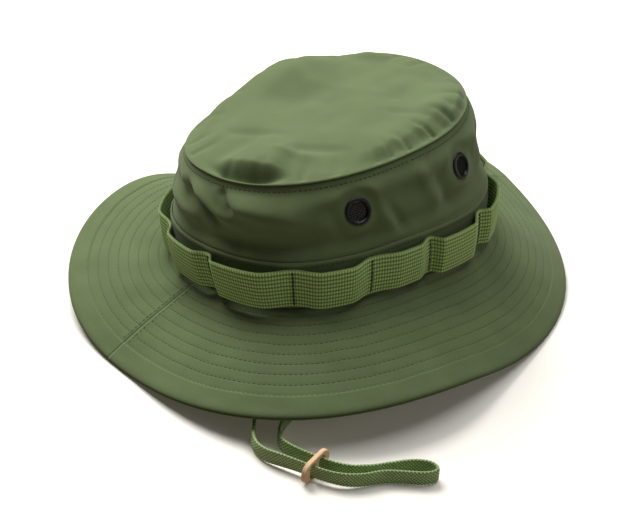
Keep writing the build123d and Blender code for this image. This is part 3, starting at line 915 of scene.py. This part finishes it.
def make_vent(side, place):
    """Rolled eyelet and woven wire disc of one vent."""
    dress(lathe(f"eyelet_{side}", place, eyelet_profile()), ENAMEL, "eyelet_metal", f"vent_eyelet_{side}")
    centre, level, rise, normal = vent_plane(place, CROWN_CLOTH)
    rows = []
    reach, pitch = 5.6, 0.95
    for index in range(-5, 6):
        offset = index * pitch
        half = np.sqrt(reach**2 - offset**2)
        run = np.linspace(-half, half, 60)
        for first, second, phase in ((level, rise, 0.0), (rise, level, pi)):
            wave = 0.16 * np.sin(pi * run / pitch + phase + pi * index)
            path = centre + first * run[:, None] + second * offset + normal * (wave - 0.2)[:, None]
            rows.append(rod(path, normal, 0.32))
    thread_piece(f"vent_mesh_{side}", rows, WIRE, "vent_mesh", (f"vent_screen_{side}",))


def rod(path, normal, radius, turns=6):
    """Points and faces of a round wire along a path, closed at its ends."""
    ahead = np.gradient(path, axis=0)
    ahead /= np.linalg.norm(ahead, axis=1, keepdims=True)
    side = np.cross(ahead, normal)
    side /= np.linalg.norm(side, axis=1, keepdims=True)
    up = np.cross(side, ahead)
    turn = 2 * pi * np.arange(turns) / turns
    ring = side[:, None] * np.cos(turn)[:, None] + up[:, None] * np.sin(turn)[:, None]
    size = np.full(len(path), radius)
    size[[0, -1]] = radius * 0.05
    points = path[:, None] + ring * size[:, None, None]
    return points.reshape(-1, 3), tube_faces(len(path), turns)


# ================================================================ chin cord
CORD_ROUTE = (
    (79.0, -2.4, 43.0), (77.5, -6.0, 31.0), (71.0, -14.0, 16.0), (62.0, -28.0, 5.6),
    (57.0, -48.0, 5.0), (63.0, -69.0, 5.0), (77.0, -86.0, 5.0), (89.0, -103.0, 5.0),
    (94.5, -121.0, 5.0), (106.0, -132.0, 5.2), (120.4, -130.0, 6.2), (147.2, -119.2, 6.4),
    (155.0, -107.0, 5.4), (159.5, -96.0, 5.0), (165.0, -84.5, 5.0), (172.5, -77.0, 5.0),
    (180.0, -77.5, 5.0), (178.8, -85.0, 5.0), (170.5, -94.0, 5.0), (162.0, -103.0, 5.0),
    (158.0, -115.5, 5.4), (148.8, -127.8, 6.4), (122.0, -138.6, 6.2), (107.5, -145.0, 5.2),
    (96.0, -143.0, 5.0), (83.5, -131.0, 5.0), (64.0, -114.0, 5.0), (41.0, -94.0, 5.0),
    (14.0, -74.0, 5.0), (-16.0, -59.0, 5.0), (-42.0, -44.0, 5.0), (-61.0, -24.0, 5.8),
    (-70.5, -10.0, 15.0), (-73.6, -4.0, 28.0),
)
CORD_WIDTH, CORD_THICKNESS, PLAIT = 9.5, 2.2, 1.9
SLIDER_CENTRE, SLIDER_HOLD = (134.8, -129.0), 17.0


def cord_line():
    """Points along the cord's smooth line, in millimetres."""
    curve = bpy.data.curves.new("cord_line", "CURVE")
    curve.dimensions = "3D"
    curve.resolution_u = 24
    spline = curve.splines.new("NURBS")
    spline.points.add(len(CORD_ROUTE) - 1)
    for point, place in zip(spline.points, CORD_ROUTE):
        point.co = (*(value * MM for value in place), 1)
    spline.order_u = 3
    spline.use_endpoint_u = True
    holder = bpy.data.objects.new("cord_line", curve)
    mesh = bpy.data.meshes.new_from_object(holder)
    line = np.array([vertex.co for vertex in mesh.vertices], float) / MM
    bpy.data.objects.remove(holder)
    bpy.data.curves.remove(curve)
    bpy.data.meshes.remove(mesh)
    distance = walked(line)
    even = np.linspace(0, distance[-1], int(distance[-1] / PLAIT * 5))
    return np.stack([np.interp(even, distance, line[:, k]) for k in range(3)], -1)


def cord_frame(line):
    """Directions across the tape's width and through its thickness: on edge, but level at its ends."""
    tangent = np.gradient(line, axis=0)
    tangent /= np.linalg.norm(tangent, axis=1, keepdims=True)
    lifted = smooth(9.0, 30.0, line[:, 2])[:, None]
    hint = (1 - lifted) * np.array([0, 0, 1.0]) + lifted * np.array([0, 1.0, 0])
    width = hint - tangent * (hint * tangent).sum(1, keepdims=True)
    width /= np.linalg.norm(width, axis=1, keepdims=True)
    return width, np.cross(tangent, width)


def make_cord():
    """Flat braid standing on edge, with herringbone plaits raised on both faces."""
    line = cord_line()
    width, side = cord_frame(line)
    distance = walked(line)[:, None]
    turn = np.linspace(0, 2 * pi, 41)[None]
    across = np.sign(np.cos(turn)) * np.abs(np.cos(turn)) ** 0.7
    deep = np.sign(np.sin(turn)) * np.abs(np.sin(turn)) ** 0.55
    from_slider = np.hypot(line[:, :1] - SLIDER_CENTRE[0], line[:, 1:2] - SLIDER_CENTRE[1])
    held = np.exp(-((from_slider / SLIDER_HOLD) ** 4))
    half = CORD_WIDTH / 2 * (1 - 0.1 * held)
    column = np.abs(across) * 2.0
    slant = np.where(np.floor(column) % 2 == 0, 1.0, -1.0) * (column % 1.0)
    plait = np.abs(np.sin(pi * (distance / PLAIT + 0.6 * slant)))
    rail = np.abs(np.sin(pi * np.clip(column, 0.12, 1.88))) ** 0.5
    swell = CORD_THICKNESS / 2 * (0.78 + 0.3 * plait * (0.5 + 0.5 * rail)) * (1 - 0.2 * held)
    edge = half * (1 - 0.05 * (1 - plait) * smooth(0.8, 1.0, np.abs(across)))
    grid = line[:, None] + width[:, None] * (edge * across)[..., None]
    grid = grid + side[:, None] * (swell * deep)[..., None]
    rows, columns = grid.shape[:2]
    faces = grid_faces(rows, columns, False)
    faces = np.where(faces % columns == columns - 1, faces - columns + 1, faces)
    maps = np.stack(np.broadcast_arrays(distance, across * CORD_WIDTH / 2), -1)
    piece = as_mesh("chin_cord_braid", grid, faces, maps)
    reshape(piece, close_up)
    dress(piece, BRAID, "cord_braid", "chin_cord")


def close_up(mesh):
    """Fills a mesh's open ends and turns its faces outwards."""
    bmesh.ops.delete(mesh, geom=[vertex for vertex in mesh.verts if not vertex.link_faces], context="VERTS")
    bmesh.ops.holes_fill(mesh, edges=[edge for edge in mesh.edges if edge.is_boundary])
    bmesh.ops.recalc_face_normals(mesh, faces=mesh.faces)


def make_cord_tack(side, end):
    """Close zigzag of thread that holds one end of the cord at the head line."""
    x, y, z = CORD_ROUTE[end]
    rows = []
    for layer, level in enumerate((0.45, 1.1, 1.75, 2.3)):
        phase = np.arange(260) / 260
        swing = 1.35 * (2 / pi) * np.arcsin(np.sin(2 * pi * phase * 11 + layer))
        path = np.stack([x + swing, y - 5.1 + 10.2 * phase, z + level + 0 * phase], -1)
        rows.append(rod(path, np.array([0.02, 0.01, 1.0]), 0.33))
    thread_piece(f"cord_tack_{side}", rows, THREAD, "thread", (f"cord_bar_tack_{side}",))


def make_interlining(side, start, end):
    """Stiff canvas between the brim's plies, ending at the turned edge."""
    angle = np.linspace(start, end, 160)[:, None]
    share = np.linspace(0, 1 - (HEM_WIDTH + 1) / BRIM_WIDTH, 40)[None]
    maps = np.stack(np.broadcast_arrays(angle * BRIM_ARC, share * BRIM_WIDTH), -1)
    piece = shell(f"interlining_canvas_{side}", brim_surface(angle, share, PLY + 0.54),
                  brim_surface(angle, share, PLY + 0.08), maps, False)
    dress(piece, CANVAS, "interlining", f"brim_interlining_{side}")


# ================================================================ stage
def make_floor():
    """Plain pale floor, which throws back less light than it shows, as a small table in a dim room does, and
    glows faintly warm: painted warm light that lightens the shadows.
    """
    bpy.ops.mesh.primitive_plane_add(size=9, location=(0, 0, -0.0002))
    floor = bpy.context.object
    floor.name = "floor"
    material, tree, shader = node_tree("pale_floor")
    path = add(tree, "ShaderNodeLightPath")
    bounce = mixed(tree, path.outputs["Is Camera Ray"], (0.36, 0.33, 0.27), (0.97, 0.935, 0.87))
    tree.links.new(bounce, shader.inputs["Base Color"])
    # Faint warm glow of the floor's own: painted warm light that lightens the shadows under the hat and
    # warms the light on its underside.
    shader.inputs["Emission Color"].default_value = (1.0, 0.87, 0.64, 1)
    shader.inputs["Emission Strength"].default_value = 0.05
    finish(shader, 0.95, 0.0, 0.1)
    floor.data.materials.append(material)


def make_light(name, place, size, power, colour):
    """Soft square light aimed at the hat."""
    data = bpy.data.lights.new(name, "AREA")
    data.energy = power
    data.size = size
    data.color = colour
    light = bpy.data.objects.new(name, data)
    bpy.context.scene.collection.objects.link(light)
    light.location = place
    aim = Vector((0, 0, 0.05)) - Vector(place)
    light.rotation_euler = aim.to_track_quat("-Z", "Y").to_euler()


def make_world():
    """White backdrop that gives only a little light of its own."""
    world = bpy.data.worlds.new("studio")
    bpy.context.scene.world = world
    world.use_nodes = True
    tree = world.node_tree
    backdrop = tree.nodes["Background"]
    dim = add(tree, "ShaderNodeBackground")
    dim.inputs["Color"].default_value = (0.95, 0.97, 1.0, 1)
    dim.inputs["Strength"].default_value = 0.055
    backdrop.inputs["Color"].default_value = (1, 1, 1, 1)
    path = add(tree, "ShaderNodeLightPath")
    choice = add(tree, "ShaderNodeMixShader")
    tree.links.new(path.outputs["Is Camera Ray"], choice.inputs[0])
    tree.links.new(dim.outputs[0], choice.inputs[1])
    tree.links.new(backdrop.outputs[0], choice.inputs[2])
    tree.links.new(choice.outputs[0], tree.nodes["World Output"].inputs["Surface"])


def make_camera():
    """Camera at the photograph's viewpoint."""
    data = bpy.data.cameras.new("camera")
    data.lens = CAMERA_LENS
    data.sensor_width = 36.0
    camera = bpy.data.objects.new("camera", data)
    bpy.context.scene.collection.objects.link(camera)
    azimuth, elevation = radians(CAMERA_AZIMUTH), radians(CAMERA_ELEVATION)
    back = Vector((sin(azimuth) * cos(elevation), -cos(azimuth) * cos(elevation), sin(elevation)))
    turned = (-back).to_track_quat("-Z", "Y").to_matrix() @ Matrix.Rotation(radians(CAMERA_ROLL), 3, "Z")
    camera.matrix_world = Matrix.Translation(CAMERA_PLACE) @ turned.to_4x4()
    bpy.context.scene.camera = camera
    bpy.context.scene.view_settings.view_transform = "Standard"


make_floor()
make_world()
make_light("key", (-1.4, 0.2, 1.75), 1.5, 82.0, (1.0, 0.99, 0.97))
make_light("top", (0.1, 0.75, 2.1), 1.5, 22.0, (0.98, 0.99, 1.0))
make_light("right_fill", (2.0, 0.9, 1.0), 1.0, 5.0, (1.0, 1.0, 1.0))
make_camera()

make_cord()
make_crown_side()
make_crown_top()
make_ring("outer_band_cloth", CLOTH, "ripstop_cloth", wall_surface, BAND_HEIGHT, CROWN_CLOTH + 0.06,
          CROWN_CLOTH + 0.96, "outer_band", 0.12)
make_ring("sweatband_tape", SWEAT, "sweatband_cloth", crown_side_surface, SWEATBAND_HEIGHT, -0.06, -1.26,
          "sweatband")
for side, (start, end) in HALVES.items():
    make_brim_half(side, start, end)
    make_interlining(side, start, end)
make_brim_thread()
make_crown_thread()
make_webbing()
make_webbing_tacks()
for side, place in VENT_ANGLES.items():
    make_vent(side, place)
for side, end in (("left", 0), ("right", -1)):
    make_cord_tack(side, end)
for name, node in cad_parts.items():
    if name.startswith(("vent_washer", "cord_slider")):
        node.data.materials.clear()
        node.data.materials.append(LEATHER if name == "cord_slider" else ENAMEL)
